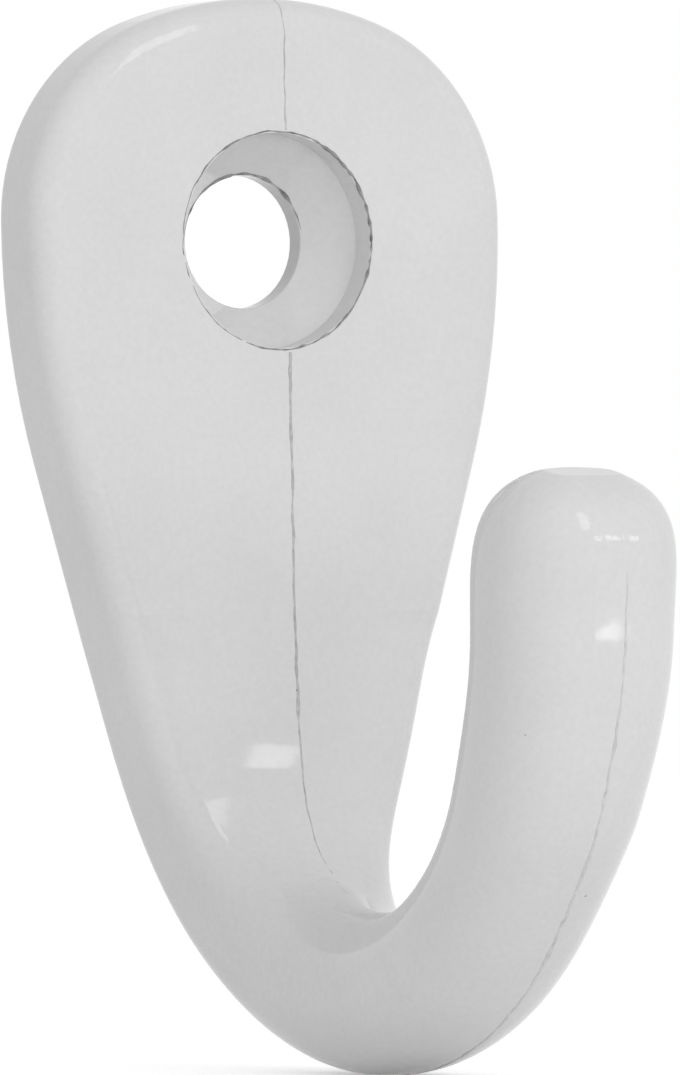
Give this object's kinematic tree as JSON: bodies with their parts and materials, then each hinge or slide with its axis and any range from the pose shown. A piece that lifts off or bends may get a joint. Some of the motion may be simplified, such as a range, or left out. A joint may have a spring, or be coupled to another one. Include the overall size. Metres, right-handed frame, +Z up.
{
  "type": "coat hook",
  "caption": "Moulded plastic coat hook: a drop-shaped wall plate with a countersunk screw hole that runs on into an upturned J-shaped arm.",
  "frame": {"origin": "on the axis of the screw hole, in the plane of the wall that the back lies on", "axes": "+X to the right as seen from in front, +Z up, -Y out of the wall towards the room"},
  "size_m": [0.022, 0.0294, 0.0432],
  "materials": {
    "moulding": "smooth gloss moulding, pale grey white"
  },
  "bodies": {
    "root": {"hook_body": "moulding"}
  },
  "joints": []
}
